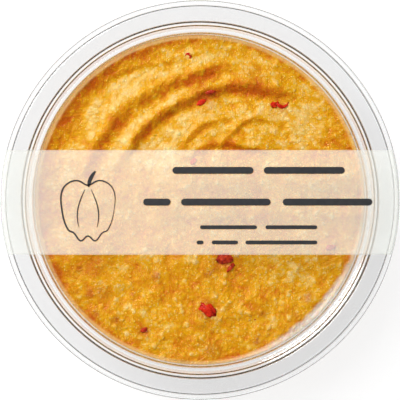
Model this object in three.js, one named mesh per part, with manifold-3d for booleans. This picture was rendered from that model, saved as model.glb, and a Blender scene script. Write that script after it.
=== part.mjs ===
// A flat round pot of red pepper hummus, shut: a clear tub, the dip in it with its spoon strokes and
// pepper bits, a clear press-on lid, and a translucent label band that wraps the lid from side to side.
// Millimetres, +Z up. The origin is the middle of the underside, and +Y points away from the reader
// of the label.
import * as THREE from "three";
import { mergeVertices } from "three/addons/utils/BufferGeometryUtils.js";
import Module from "manifold-3d";

const wasm = await Module();
wasm.setup();

// Driving sizes
const lidRadius = 58; // outer face of the lid's skirt
const lidTop = 38.3; // upper face of the lid's ring
const dipLevel = 29.1; // mean level of the dip
const tubWall = 0.8;
const lidWall = 0.6;
const seatGap = 0.3; // between pieces that touch
const roundness = 0.1; // more gap where two pieces have their flats at other angles
const turns = 48; // flats round each turned piece

// Tub: radii and heights on the middle of its wall
const floorHeight = 1.6;
const floorRadius = 37.2;
const footInner = 38.6;
const footOuter = 42.4;
const footHeight = tubWall / 2;
const shoulderRadius = 48.8;
const shoulderHeight = dipLevel + 3.1;
const ledgeHeight = shoulderHeight + 0.8;
const mouthRadius = 51.6;
const rimRadius = lidRadius - lidWall - seatGap - roundness - tubWall / 2;
const rimHeight = lidTop - lidWall - seatGap - tubWall / 2;
const rimDrop = 1.3;

// Lid: radii and heights on the middle of its wall
const ringHeight = lidTop - lidWall / 2;
const panelHeight = ringHeight - 3.3;
const panelRadius = 49.9;
const ringInner = 50.9;
const skirtRadius = lidRadius - lidWall / 2;
const skirtFoot = ringHeight - 3.8;

// Label band, lying on the lid and on the tub's side
const bandWidth = 30.4;
const bandCentreY = -0.7;
const bandThickness = 0.3;
const bandLift = seatGap + bandThickness / 2;
const bandTurnHeight = skirtFoot - 0.6; // where it leaves the lid's skirt
const bandSeatHeight = 20; // where it meets the tub's side
const bandEndHeight = 8;

// Dip: how far it climbs the wall on the far left side, the smooth shelf smeared along the wall all
// round, and the top of its straight side
const wallClimb = 1.8;
const wallClimbWidth = 3;
const shelfRise = 0.5;
const shelfWidth = 0.4; // from the wall's inner face
const shelfBlend = 0.5; // the shelf's inner edge fades over this distance
const shelfOnset = 0.3; // and is complete this far outside it
const dipSideTop = dipLevel - 0.7;
const dipSkin = 0.4; // the strokes stand up from this far below the mean level
const swirlCentre = new THREE.Vector2(13.2, 0);

// Spoon strokes: each leaves a lip that falls steeply inwards and gently outwards. Radius is from the
// swirl's centre, angles run from +Y towards -X in degrees, and drift is the radius gained for each
// degree past drift's start.
const strokes = [
  { radius: 34.2, driftFrom: 30, drift: 0.115, from: -20, to: 72, lip: 1.9, fall: 3.4, reach: 5.0 },
  { radius: 40.5, driftFrom: 24, drift: 0.14, from: 8, to: 80, lip: 1.8, fall: 4.4, reach: 7.0 },
  { radius: 45.6, driftFrom: 26, drift: 0.36, from: 20, to: 48, lip: 0.5, fall: 1.6, reach: 3.0 },
  { radius: 25.0, driftFrom: 0, drift: 0, from: 14, to: 52, lip: 0.8, fall: 2.0, reach: 3.5 },
  { radius: 25.0, driftFrom: -8, drift: -0.22, from: -18, to: 16, lip: 0.8, fall: 2.0, reach: 3.0 },
  { radius: 16.2, driftFrom: 0, drift: 0.1, from: -24, to: 48, lip: 1.0, fall: 2.2, reach: 4.5 },
];
const strokeFade = 12; // degrees over which a stroke's ends die away
const wobble = { size: 9, height: 0.5, seed: 21 }; // how far the strokes stray from true arcs

// Lumps of coarsely mashed chickpea as wave length and height, flatter on the far side
const lumps = [
  { size: 6.0, height: 0.55, seed: 3 },
  { size: 3.4, height: 0.36, seed: 8 },
];
const farLumps = 0.35; // share of their height that the lumps keep on the far side
const farEdge = 12; // the lumps change over this distance on either side of the middle

// Pepper bits: place, length, width, thickness and turn in degrees
const pepperBits = [
  { at: [7.3, -17.3], size: [4.6, 2.8, 1.4], turn: 14 },
  { at: [2.2, -32.4], size: [5.2, 3.8, 1.5], turn: -38 },
  { at: [22.9, 28.0], size: [4.4, 2.5, 1.3], turn: -8 },
  { at: [0.4, 28.6], size: [2.6, 1.8, 1.3], turn: 30 },
  { at: [3.2, 31.6], size: [2.6, 1.4, 1.2], turn: 18 },
  { at: [-3.2, 42.6], size: [1.8, 1.4, 1.1], turn: 15 },
  { at: [-16.4, -38.0], size: [2.2, 1.6, 1.2], turn: 24 },
  { at: [38.2, -13.9], size: [2.7, 1.7, 1.2], turn: 20 },
];
const pepperRise = 0.15; // a bit's middle above the dip

// The dip's grid: rings of even distance from the swirl's centre, then rings that spread to the wall
const dipSteps = 90;
const innerRings = 12;
const innerReach = 24;
const outerRings = 19;

const { clamp, degToRad, lerp, radToDeg, smoothstep } = THREE.MathUtils;

// Corners [radius, height, bend radius, steps in the bend] to a line with each corner rounded by an arc.
function roundedLine(corners) {
  const points = corners.map(([radius, height]) => new THREE.Vector2(radius, height));
  return corners.flatMap(([, , bend, steps], i) =>
    bend ? bendPoints(points[i - 1], points[i], points[i + 1], bend, steps) : [points[i]],
  );
}

// Arc of the given radius that rounds the corner at here, on the way from one point to another.
function bendPoints(from, here, to, bend, steps) {
  const back = from.clone().sub(here).normalize();
  const ahead = to.clone().sub(here).normalize();
  const half = Math.acos(back.dot(ahead)) / 2;
  const middle = back.clone().add(ahead).setLength(bend / Math.sin(half)).add(here);
  const start = here.clone().addScaledVector(back, bend / Math.tan(half)).sub(middle);
  const end = here.clone().addScaledVector(ahead, bend / Math.tan(half)).sub(middle);
  const sweep = Math.atan2(start.cross(end), start.dot(end));
  const origin = new THREE.Vector2();
  return Array.from({ length: steps + 1 }, (_, k) =>
    start.clone().rotateAround(origin, (sweep * k) / steps).add(middle),
  );
}

// The line moved sideways by distance, each point along the bisector of its two sides.
function offsetLine(line, distance) {
  return line.map((point, i) => {
    const sides = [line.slice(i - 1, i + 1), line.slice(i, i + 2)].filter((side) => side.length === 2);
    const normals = sides.map(([a, b]) => new THREE.Vector2(b.y - a.y, a.x - b.x).normalize());
    const bisector = normals.reduce((sum, normal) => sum.clone().add(normal)).normalize();
    return point.clone().addScaledVector(bisector, distance / bisector.dot(normals[0]));
  });
}

// A wall of even thickness on a middle line that starts on the axis, turned round the Z axis.
function turnedWall(corners, thickness) {
  const line = roundedLine(corners);
  const under = offsetLine(line, thickness / 2);
  const over = offsetLine(line, -thickness / 2).reverse();
  return new THREE.LatheGeometry([...under, ...over], turns).rotateX(Math.PI / 2);
}

// A closed geometry as a solid for joining and cutting.
function solid(geometry) {
  const bare = geometry.clone().deleteAttribute("normal").deleteAttribute("uv");
  const merged = mergeVertices(bare, 1e-3);
  return new wasm.Manifold(
    new wasm.Mesh({
      numProp: 3,
      vertProperties: merged.attributes.position.array,
      triVerts: new Uint32Array(merged.index.array),
    }),
  );
}

// A solid back as a geometry.
function geometryOf(made) {
  const { vertProperties, triVerts } = made.getMesh();
  return new THREE.BufferGeometry()
    .setAttribute("position", new THREE.BufferAttribute(new Float32Array(vertProperties), 3))
    .setIndex(new THREE.BufferAttribute(new Uint32Array(triVerts), 1));
}

// Radius of the middle of the tub's straight side at a height.
function tubSide(height) {
  return lerp(footOuter, shoulderRadius, (height - footHeight) / (shoulderHeight - footHeight));
}

function tubGeometry() {
  return turnedWall(
    [
      [0, floorHeight],
      [floorRadius, floorHeight, 0.8, 1],
      [footInner, footHeight, 0.8, 1],
      [footOuter, footHeight, 2.2, 3],
      [shoulderRadius, shoulderHeight, 2.0, 2],
      [mouthRadius, ledgeHeight, 0.8, 2],
      [mouthRadius, rimHeight, 0.8, 2],
      [rimRadius, rimHeight, 0.7, 2],
      [rimRadius, rimHeight - rimDrop],
    ],
    tubWall,
  );
}

function lidGeometry() {
  return turnedWall(
    [
      [0, panelHeight],
      [panelRadius, panelHeight, 0.7, 2],
      [ringInner, ringHeight, 0.7, 2],
      [skirtRadius, ringHeight, 0.9, 3],
      [skirtRadius, skirtFoot],
    ],
    lidWall,
  );
}

// The band is a strip cut from a turned skin: flat over the ring, down past the skirt, then slanting
// in to the tub's side and on down it.
function bandGeometry() {
  const top = lidTop + bandLift;
  const outer = lidRadius + bandLift + roundness;
  const seat = (height) => [tubSide(height) + tubWall / 2 + bandLift + roundness, height];
  const skin = turnedWall(
    [
      [0, top],
      [outer - 0.4, top, 0.8, 2],
      [outer, bandTurnHeight, 0.5, 1],
      [...seat(bandSeatHeight), 0.5, 1],
      seat(bandEndHeight),
    ],
    bandThickness,
  );
  const slab = new THREE.BoxGeometry(4 * lidRadius, bandWidth, 4 * lidTop).translate(0, bandCentreY, 0);
  return geometryOf(solid(skin).intersect(solid(slab)));
}

// Repeatable number from -1 to 1 for a grid point.
function gridNoise(i, j, seed) {
  const s = Math.sin(i * 127.1 + j * 311.7 + seed * 74.7) * 43758.5453;
  return 2 * (s - Math.floor(s)) - 1;
}

// Smooth waves of the given size and height on a grid turned by the seed, blended between its points.
function waves(x, y, { size, height, seed }) {
  const turn = 0.7 * seed;
  const u = (x * Math.cos(turn) - y * Math.sin(turn)) / size;
  const v = (x * Math.sin(turn) + y * Math.cos(turn)) / size;
  const [i, j] = [Math.floor(u), Math.floor(v)];
  const [a, b] = [smoothstep(u - i, 0, 1), smoothstep(v - j, 0, 1)];
  const low = lerp(gridNoise(i, j, seed), gridNoise(i + 1, j, seed), a);
  const high = lerp(gridNoise(i, j + 1, seed), gridNoise(i + 1, j + 1, seed), a);
  return height * lerp(low, high, b);
}

// One spoon stroke's height at a place given by its distance and angle about the swirl's centre.
function strokeHeight(stroke, distance, angle) {
  const line = stroke.radius + stroke.drift * Math.max(angle - stroke.driftFrom, 0);
  const out = distance - line;
  const across = smoothstep(out, -stroke.fall, 0) * Math.exp(-Math.max(out, 0) / stroke.reach);
  const start = smoothstep(angle, stroke.from - strokeFade, stroke.from + strokeFade);
  const end = smoothstep(angle, stroke.to - strokeFade, stroke.to + strokeFade);
  return stroke.lip * across * start * (1 - end);
}

// Sum of all the strokes at a place.
function swirlHeight(x, y) {
  const [dx, dy] = [x - swirlCentre.x, y - swirlCentre.y];
  const distance = Math.hypot(dx, dy) + waves(x, y, wobble);
  const angle = radToDeg(Math.atan2(-dx, dy));
  return strokes.reduce((sum, stroke) => sum + strokeHeight(stroke, distance, angle), 0);
}

// Height of the dip's top surface.
function dipHeight(x, y) {
  const radius = Math.hypot(x, y);
  const farLeft = clamp((y - x) / Math.max(radius, 1) / Math.SQRT2, 0, 1);
  const shelfRadius = tubSide(dipLevel) - tubWall / 2 - shelfWidth;
  const shelf = smoothstep(radius, shelfRadius - shelfBlend, shelfRadius + shelfOnset);
  const inward = Math.min(radius - shelfRadius, 0);
  const climb = wallClimb * farLeft ** 2 * Math.exp(inward / wallClimbWidth);
  const share = lerp(1, farLumps, smoothstep(y, -farEdge, farEdge));
  const bumps = lumps.reduce((sum, lump) => sum + waves(x, y, lump), 0);
  const relief = (1 - shelf) * (swirlHeight(x, y) + share * bumps);
  return dipLevel - dipSkin + climb + shelfRise * shelf + relief;
}

// Radius of the dip against the tub's inner face at a height on its straight side.
function dipRadius(height) {
  return tubSide(height) - tubWall / 2 - seatGap - roundness;
}

function anglesRound(steps) {
  return Array.from({ length: steps }, (_, k) => (2 * Math.PI * k) / steps);
}

// One ring of the dip's side.
function sideRing([radius, height]) {
  return anglesRound(dipSteps).map((angle) => [radius * Math.cos(angle), radius * Math.sin(angle), height]);
}

// One ring of the dip's top, on rays from the swirl's centre to even steps round the wall.
function topRing(ring) {
  const wall = dipRadius(dipSideTop);
  return anglesRound(dipSteps).map((angle) => {
    const ray = new THREE.Vector2(Math.cos(angle), Math.sin(angle)).multiplyScalar(wall).sub(swirlCentre);
    const spread = ((ray.length() - innerReach) * Math.max(ring - innerRings, 0)) / outerRings;
    const distance = (innerReach * Math.min(ring, innerRings)) / innerRings + spread;
    const { x, y } = ray.setLength(distance).add(swirlCentre);
    return [x, y, dipHeight(x, y)];
  });
}

// A closed body from rings of equally many points, with one point that closes each end.
function ringedBody(first, rings, last) {
  const steps = rings[0].length;
  const place = (ring, k) => 1 + ring * steps + (k % steps);
  const end = 1 + rings.length * steps;
  const faces = [];
  for (let k = 0; k < steps; k++) {
    faces.push(0, place(0, k), place(0, k + 1));
    for (let ring = 1; ring < rings.length; ring++) {
      const [a, b] = [place(ring - 1, k), place(ring - 1, k + 1)];
      const [c, d] = [place(ring, k), place(ring, k + 1)];
      faces.push(a, c, d, a, d, b);
    }
    faces.push(end, place(rings.length - 1, k + 1), place(rings.length - 1, k));
  }
  const points = [first, ...rings.flat(), last].flat();
  return new THREE.BufferGeometry()
    .setAttribute("position", new THREE.BufferAttribute(new Float32Array(points), 3))
    .setIndex(faces);
}

// The dip from the swirl's centre out over its top, down its side and in under it.
function dipGeometry() {
  const floor = floorHeight + tubWall / 2 + seatGap;
  const sideFoot = 5;
  const tops = Array.from({ length: innerRings + outerRings }, (_, ring) => topRing(ring + 1));
  const sides = [
    [dipRadius(dipSideTop), dipSideTop],
    [dipRadius(sideFoot), sideFoot],
    [dipRadius(sideFoot) - 2.6, floor + 0.4],
    [floorRadius - 1.5, floor],
  ];
  const { x, y } = swirlCentre;
  return ringedBody([x, y, dipHeight(x, y)], [...tops, ...sides.map(sideRing)], [0, 0, floor]);
}

// A pepper bit half sunk in the dip.
function pepperGeometry({ at: [x, y], size, turn }) {
  return new THREE.SphereGeometry(0.5, 7, 4)
    .scale(...size)
    .rotateZ(degToRad(turn))
    .translate(x, y, dipHeight(x, y) + pepperRise);
}

function hummusGeometry() {
  const bits = pepperBits.map((bit) => solid(pepperGeometry(bit)));
  return geometryOf(bits.reduce((whole, bit) => whole.add(bit), solid(dipGeometry())));
}

function piece(name, geometry, material) {
  const mesh = new THREE.Mesh(geometry, new THREE.MeshStandardMaterial(material));
  mesh.name = name;
  return mesh;
}

const clearTub = { color: 0xeef0f0, roughness: 0.12, metalness: 0, transparent: true, opacity: 0.3 };
const clearLid = { color: 0xf2f4f4, roughness: 0.1, metalness: 0, transparent: true, opacity: 0.25 };
const filmWhite = { color: 0xfbf4e6, roughness: 0.45, metalness: 0, transparent: true, opacity: 0.6 };
const puree = { color: 0xdd982e, roughness: 0.5, metalness: 0 };

const pot = new THREE.Group();
pot.add(piece("tub", tubGeometry(), clearTub));
pot.add(piece("hummus", hummusGeometry(), puree));
pot.add(piece("lid", lidGeometry(), clearLid));
pot.add(piece("label_band", bandGeometry(), filmWhite));

export default pot;
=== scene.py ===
"""A shut clear pot of red pepper hummus with a translucent label band, seen from straight above.

Lengths are in millimetres until a mesh is made. Every mesh is then in metres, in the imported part's
frame: the origin is the middle of the pot's underside, +Z is up and +Y is the far side.
"""

import functools
import logging
import math
from dataclasses import dataclass
from enum import Enum
from typing import Callable, Sequence

import bpy
import numpy as np
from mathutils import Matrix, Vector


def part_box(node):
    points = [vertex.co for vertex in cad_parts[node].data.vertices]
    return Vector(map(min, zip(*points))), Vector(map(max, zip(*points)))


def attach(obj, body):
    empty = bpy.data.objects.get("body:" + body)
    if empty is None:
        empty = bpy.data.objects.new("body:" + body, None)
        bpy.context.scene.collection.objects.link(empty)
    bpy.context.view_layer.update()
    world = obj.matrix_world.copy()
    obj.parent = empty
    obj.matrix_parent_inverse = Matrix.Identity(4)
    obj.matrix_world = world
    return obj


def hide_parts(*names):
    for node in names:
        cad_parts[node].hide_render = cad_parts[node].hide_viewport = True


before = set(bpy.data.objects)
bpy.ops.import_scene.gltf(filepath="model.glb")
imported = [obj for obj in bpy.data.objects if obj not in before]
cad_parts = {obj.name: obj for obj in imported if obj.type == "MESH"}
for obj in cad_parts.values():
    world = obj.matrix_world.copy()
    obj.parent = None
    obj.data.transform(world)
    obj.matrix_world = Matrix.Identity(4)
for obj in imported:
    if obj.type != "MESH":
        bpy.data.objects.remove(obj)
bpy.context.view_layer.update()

MM = 0.001
EDGE_STEPS = 8
log = logging.getLogger("pot")

Colour = tuple[float, float, float]
Place = tuple[float, float]
Surface = Callable[[np.ndarray, np.ndarray], np.ndarray]
Value = bpy.types.NodeSocket | Sequence[float] | float


class Axis(Enum):
    """Which way a row of points closes on itself."""

    OPEN = "open"
    CLOSED = "closed"


@dataclass(frozen=True)
class Corner:
    """A corner of a wall's middle line, with the radius of the bend that rounds it."""

    radius: float
    height: float
    bend: float = 0.0


def node_size(node: str) -> tuple[float, float]:
    """Half the depth along Y and the height of the top of a CAD node.

    Args:
        node: The node's name.

    Returns:
        Both in millimetres, to a thousandth.
    """
    low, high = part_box(node)
    return round((high.y - low.y) / 2.0 / MM, 3), round(high.z / MM, 3)


# Lines and meshes


def smooth_step(x: np.ndarray, low: float, high: float) -> np.ndarray:
    """The cubic 3t^2 - 2t^3 of how far x lies from low to high.

    Args:
        x: Values to ease.
        low: Where the step starts.
        high: Where it ends.

    Returns:
        Values from 0 to 1.
    """
    t = np.clip((x - low) / (high - low), 0.0, 1.0)
    return t * t * (3.0 - 2.0 * t)


def bell(x: np.ndarray, middle: float, width: float) -> np.ndarray:
    """The bell curve exp(-((x - middle) / width)^2)."""
    return np.exp(-(((x - middle) / width) ** 2))


def bend_arc(
    before: np.ndarray, here: np.ndarray, after: np.ndarray, bend: float, steps: int
) -> np.ndarray:
    """Points of the arc that touches both sides of a corner.

    The arc's middle lies on the corner's bisector, bend / sin(half angle) from the corner.

    Args:
        before: The point before the corner.
        here: The corner.
        after: The point after it.
        bend: The arc's radius.
        steps: How many steps the arc takes.

    Returns:
        An array of steps + 1 points.
    """
    back = (before - here) / np.linalg.norm(before - here)
    ahead = (after - here) / np.linalg.norm(after - here)
    half = math.acos(float(np.clip(back @ ahead, -1.0, 1.0))) / 2.0
    bisector = (back + ahead) / np.linalg.norm(back + ahead)
    middle = here + bisector * bend / math.sin(half)
    start = here + back * bend / math.tan(half) - middle
    end = here + ahead * bend / math.tan(half) - middle
    sweep = math.atan2(start[0] * end[1] - start[1] * end[0], float(start @ end))
    angles = sweep * np.linspace(0.0, 1.0, steps + 1)
    turned = np.stack(
        [
            start[0] * np.cos(angles) - start[1] * np.sin(angles),
            start[0] * np.sin(angles) + start[1] * np.cos(angles),
        ],
        axis=1,
    )
    return middle + turned


def rounded_line(corners: Sequence[Corner], steps: int) -> np.ndarray:
    """A line through corners, each rounded by its own arc.

    Args:
        corners: The line's corners in order.
        steps: Steps in each arc.

    Returns:
        An array of [radius, height] rows.
    """
    points = np.array([[c.radius, c.height] for c in corners])
    parts = []
    for i, corner in enumerate(corners):
        if corner.bend > 0.0:
            arc = bend_arc(points[i - 1], points[i], points[i + 1], corner.bend, steps)
            parts.append(arc)
        else:
            parts.append(points[i : i + 1])
    return with_supports(np.concatenate(parts))


def with_supports(line: np.ndarray, margin: float = 0.12, shortest: float = 0.48) -> np.ndarray:
    """A line with two more points on each long side, close to its ends, which keep the side flat.

    Args:
        line: Rows of [radius, height].
        margin: How far from the side's ends the points lie.
        shortest: Only sides longer than this have them.

    Returns:
        The line with its new points.
    """
    side = np.diff(line, axis=0)
    length = np.linalg.norm(side, axis=1, keepdims=True)
    near = line[:-1] + side * margin / length
    far = line[1:] - side * margin / length
    long = length[:, 0] > shortest
    keep = np.stack([np.ones_like(long), long, long], axis=1)
    return np.concatenate([np.stack([line[:-1], near, far], axis=1)[keep], line[-1:]])


def offset_line(line: np.ndarray, distance: float) -> np.ndarray:
    """The line moved sideways: each point goes along the bisector of its sides' normals.

    Args:
        line: Rows of [radius, height].
        distance: How far to move it, to the right of its direction.

    Returns:
        The moved line.
    """
    sides = np.diff(line, axis=0)
    normals = np.stack([sides[:, 1], -sides[:, 0]], axis=1)
    normals /= np.linalg.norm(normals, axis=1, keepdims=True)
    before = np.concatenate([normals[:1], normals])
    after = np.concatenate([normals, normals[-1:]])
    bisector = before + after
    bisector /= np.linalg.norm(bisector, axis=1, keepdims=True)
    reach = distance / np.sum(bisector * after, axis=1, keepdims=True)
    return line + bisector * reach


def grid_quads(rows: int, columns: int, across: Axis) -> np.ndarray:
    """Corner numbers of the quads of a grid whose points are numbered row by row.

    Args:
        rows: Points along the first parameter.
        columns: Points along the second.
        across: Whether the last column joins the first.

    Returns:
        An array of four corner numbers a quad.
    """
    wide = columns if across is Axis.CLOSED else columns - 1
    row, column = np.meshgrid(np.arange(rows - 1), np.arange(wide), indexing="ij")
    here = row * columns + column
    right = row * columns + (column + 1) % columns
    return np.stack([here, right, right + columns, here + columns], axis=-1).reshape(-1, 4)


def fan(pole: int, ring: np.ndarray) -> np.ndarray:
    """Triangles from one point to each side of a closed ring of points."""
    return np.stack([np.full(len(ring), pole), ring, np.roll(ring, -1)], axis=1)


def new_object(name: str, points: np.ndarray, faces: Sequence[np.ndarray]) -> bpy.types.Object:
    """An object at the origin from points in millimetres.

    Args:
        name: The piece's name.
        points: Rows of x, y, z in millimetres.
        faces: Arrays of corner numbers, each array with faces of one size.

    Returns:
        The linked, smooth-shaded object.
    """
    mesh = bpy.data.meshes.new(name)
    corners = np.concatenate([f.ravel() for f in faces]).astype(np.int32)
    sizes = np.concatenate([np.full(len(f), f.shape[1]) for f in faces])
    starts = (np.cumsum(sizes) - sizes).astype(np.int32)
    mesh.vertices.add(len(points))
    mesh.vertices.foreach_set("co", (points * MM).astype(np.float32).ravel())
    mesh.loops.add(len(corners))
    mesh.loops.foreach_set("vertex_index", corners)
    mesh.polygons.add(len(starts))
    mesh.polygons.foreach_set("loop_start", starts)
    mesh.update(calc_edges=True)
    mesh.validate()
    mesh.shade_smooth()
    made = bpy.data.objects.new(name, mesh)
    bpy.context.scene.collection.objects.link(made)
    return made


def turned_body(name: str, profile: np.ndarray, steps: int) -> bpy.types.Object:
    """A body of revolution: profile point (r, z) goes to (r cos a, r sin a, z) for each angle a.

    Args:
        name: The piece's name.
        profile: Rows of [radius, height] that start and end on the axis.
        steps: Steps round the axis.

    Returns:
        The closed body, with one point at each pole.
    """
    angle = 2.0 * np.pi * np.arange(steps) / steps
    rings = profile[1:-1]
    x = rings[:, :1] * np.cos(angle)
    y = rings[:, :1] * np.sin(angle)
    z = np.broadcast_to(rings[:, 1:], x.shape)
    poles = np.array([[0.0, 0.0, profile[0, 1]], [0.0, 0.0, profile[-1, 1]]])
    points = np.concatenate([np.stack([x, y, z], axis=-1).reshape(-1, 3), poles])
    count = len(rings) * steps
    first = np.arange(steps)
    quads = grid_quads(len(rings), steps, Axis.CLOSED)
    ends = np.concatenate([fan(count, first[::-1]), fan(count + 1, first + count - steps)])
    return new_object(name, points, [quads, ends])


def turned_wall(
    name: str, line: np.ndarray, right: float, left: float, steps: int
) -> bpy.types.Object:
    """A wall of even thickness along a line that starts on the axis, turned round the axis.

    A half circle at the line's end, as wide as the wall is thick, rounds the wall's edge.

    Args:
        name: The piece's name.
        line: Rows of [radius, height].
        right: How far the wall's one face lies to the right of the line.
        left: How far its other face lies to the left.
        steps: Steps round the axis.

    Returns:
        The closed wall.
    """
    under = offset_line(line, right)
    over = offset_line(line, -left)
    turn = np.linspace(0.0, np.pi, EDGE_STEPS + 1)[1:-1, None]
    middle = (under[-1] + over[-1]) / 2.0
    side = under[-1] - middle
    ahead = np.array([-side[1], side[0]])
    edge = middle + side * np.cos(turn) + ahead * np.sin(turn)
    return turned_body(name, np.concatenate([under, edge, over[::-1]]), steps)


def shell(name: str, middle: np.ndarray, thickness: float) -> bpy.types.Object:
    """A closed sheet of even thickness on a middle surface.

    Each point of the middle surface goes half the thickness along the surface's normal, the cross
    product of its slopes along the two parameters, and half against it; a rim joins both faces.

    Args:
        name: The piece's name.
        middle: Points as rows by columns by 3.
        thickness: The sheet's thickness.

    Returns:
        The closed sheet.
    """
    rows, columns = middle.shape[:2]
    normal = np.cross(np.gradient(middle, axis=0), np.gradient(middle, axis=1))
    normal /= np.linalg.norm(normal, axis=-1, keepdims=True)
    upper = middle + normal * thickness / 2.0
    lower = middle - normal * thickness / 2.0
    loop = np.concatenate([upper, lower[:, ::-1]], axis=1)
    around = 2 * columns
    across = np.arange(columns - 1)
    first = np.stack([across, across + 1, around - 2 - across, around - 1 - across], axis=1)
    last = first[:, ::-1] + (rows - 1) * around
    body = grid_quads(rows, around, Axis.CLOSED)[:, ::-1]
    return new_object(name, loop.reshape(-1, 3), [body, first, last])


def join_pieces(name: str, pieces: Sequence[bpy.types.Object]) -> bpy.types.Object:
    """Several objects as one mesh.

    Args:
        name: The joined piece's name.
        pieces: The objects, which are used up.

    Returns:
        The joined object.
    """
    chosen = {"active_object": pieces[0], "selected_editable_objects": list(pieces)}
    with bpy.context.temp_override(**chosen):
        bpy.ops.object.join()
    joined = pieces[0]
    joined.name = name
    joined.data.name = name
    return joined


# Relief

NOISE_STEPS = (127.1, 311.7, 74.7)
NOISE_STRETCH = 43758.5453


def grid_noise(i: np.ndarray, j: np.ndarray, seed: float) -> np.ndarray:
    """Repeatable random numbers from the fraction of a large sine.

    Args:
        i: First whole coordinates of the grid points.
        j: Second coordinates.
        seed: What tells one set of numbers from another.

    Returns:
        A number from -1 to 1 for each point.
    """
    across, up, apart = NOISE_STEPS
    large = np.sin(i * across + j * up + seed * apart) * NOISE_STRETCH
    return 2.0 * (large - np.floor(large)) - 1.0


@dataclass(frozen=True)
class Waves:
    """Smooth random waves: numbers at the points of a turned square grid, eased between them."""

    size: float
    height: float
    seed: int
    turn: float = 0.7

    def at(self, x: np.ndarray, y: np.ndarray) -> np.ndarray:
        """Height of the waves: the numbers at a cell's four corners, mixed by the smooth step.

        Args:
            x: First coordinate of the places.
            y: Second coordinate.

        Returns:
            Heights from minus to plus the waves' height.
        """
        turn = self.turn * self.seed
        u = (x * math.cos(turn) - y * math.sin(turn)) / self.size
        v = (x * math.sin(turn) + y * math.cos(turn)) / self.size
        i, j = np.floor(u), np.floor(v)
        a, b = smooth_step(u - i, 0.0, 1.0), smooth_step(v - j, 0.0, 1.0)
        low = grid_noise(i, j, self.seed) * (1.0 - a) + grid_noise(i + 1, j, self.seed) * a
        far_left, far_right = grid_noise(i, j + 1, self.seed), grid_noise(i + 1, j + 1, self.seed)
        high = far_left * (1.0 - a) + far_right * a
        return self.height * (low * (1.0 - b) + high * b)


@dataclass(frozen=True)
class Grains:
    """Round grains, at most one in each cell of a square grid, each of random place and size."""

    cell: float
    radius: float
    height: float
    share: float
    seed: int
    stray: float = 0.4
    usual_size: float = 0.75
    size_range: float = 0.35
    bluntness: float = 0.7

    def at(self, x: np.ndarray, y: np.ndarray) -> tuple[np.ndarray, np.ndarray]:
        """Caps of height times (1 - (distance / radius)^2)^bluntness, the highest of nine cells.

        Args:
            x: First coordinate of the places.
            y: Second coordinate.

        Returns:
            The height of the grains, and a random tint from -1 to 1 for the grain on top.
        """
        i, j = np.floor(x / self.cell), np.floor(y / self.cell)
        best, tint = np.zeros_like(x), np.zeros_like(x)
        for di in (-1, 0, 1):
            for dj in (-1, 0, 1):
                a, b = i + di, j + dj
                px = (a + 0.5 + self.stray * grid_noise(a, b, self.seed)) * self.cell
                py = (b + 0.5 + self.stray * grid_noise(a, b, self.seed + 1)) * self.cell
                spread = self.size_range * grid_noise(a, b, self.seed + 2)
                size = self.radius * (self.usual_size + spread)
                there = grid_noise(a, b, self.seed + 3) < 2.0 * self.share - 1.0
                gap = ((x - px) ** 2 + (y - py) ** 2) / size**2
                round_top = np.clip(1.0 - gap, 0.0, 1.0) ** self.bluntness
                cap = np.where(there, self.height * round_top * size / self.radius, 0.0)
                tint = np.where(cap > best, grid_noise(a, b, self.seed + 4), tint)
                best = np.maximum(best, cap)
        return best, tint


@dataclass(frozen=True)
class Stroke:
    """A spoon stroke: a lip that falls steeply inwards and gently outwards, along a spiral.

    The radius is from the swirl's centre, angles run from +Y towards -X in degrees, and drift is
    the radius gained for each degree past drift_from. Painted shade, partly the deeper orange of
    moist paste, lies over the fall, from its foot a number of falls inside the lip's line to its
    head a number of falls outside it.
    """

    radius: float
    drift_from: float
    drift: float
    start: float
    end: float
    lip: float
    fall: float
    reach: float
    fade: float = 12.0
    crease_shade_foot: float = 1.5
    crease_shade_head: float = 0.6

    def place(self, distance: np.ndarray, angle: np.ndarray) -> tuple[np.ndarray, np.ndarray]:
        """Where a place lies on the stroke.

        Args:
            distance: Distances from the swirl's centre.
            angle: Angles about it in degrees.

        Returns:
            How far outside the stroke's line it is, and its share of the stroke's full depth.
        """
        line = self.radius + self.drift * np.maximum(angle - self.drift_from, 0.0)
        begun = smooth_step(angle, self.start - self.fade, self.start + self.fade)
        ended = smooth_step(angle, self.end - self.fade, self.end + self.fade)
        return distance - line, begun * (1.0 - ended)

    def at(self, distance: np.ndarray, angle: np.ndarray) -> np.ndarray:
        """The stroke's height: an eased rise over its fall, then exp(-way out / reach).

        Args:
            distance: Distances from the swirl's centre.
            angle: Angles about it in degrees.

        Returns:
            Heights in millimetres, faded out at both ends.
        """
        out, along = self.place(distance, angle)
        rise = smooth_step(out, -self.fall, 0.0)
        return self.lip * rise * np.exp(-np.maximum(out, 0.0) / self.reach) * along

    def crease_shade(self, distance: np.ndarray, angle: np.ndarray) -> np.ndarray:
        """How much of the fall's painted shade a place has: 4t(1 - t) across it, times its lip.

        Args:
            distance: Distances from the swirl's centre.
            angle: Angles about it in degrees.

        Returns:
            Values from 0 up to the lip's height.
        """
        out, along = self.place(distance, angle)
        t = smooth_step(out, -self.crease_shade_foot * self.fall, self.crease_shade_head * self.fall)
        return 4.0 * t * (1.0 - t) * along * self.lip


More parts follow.
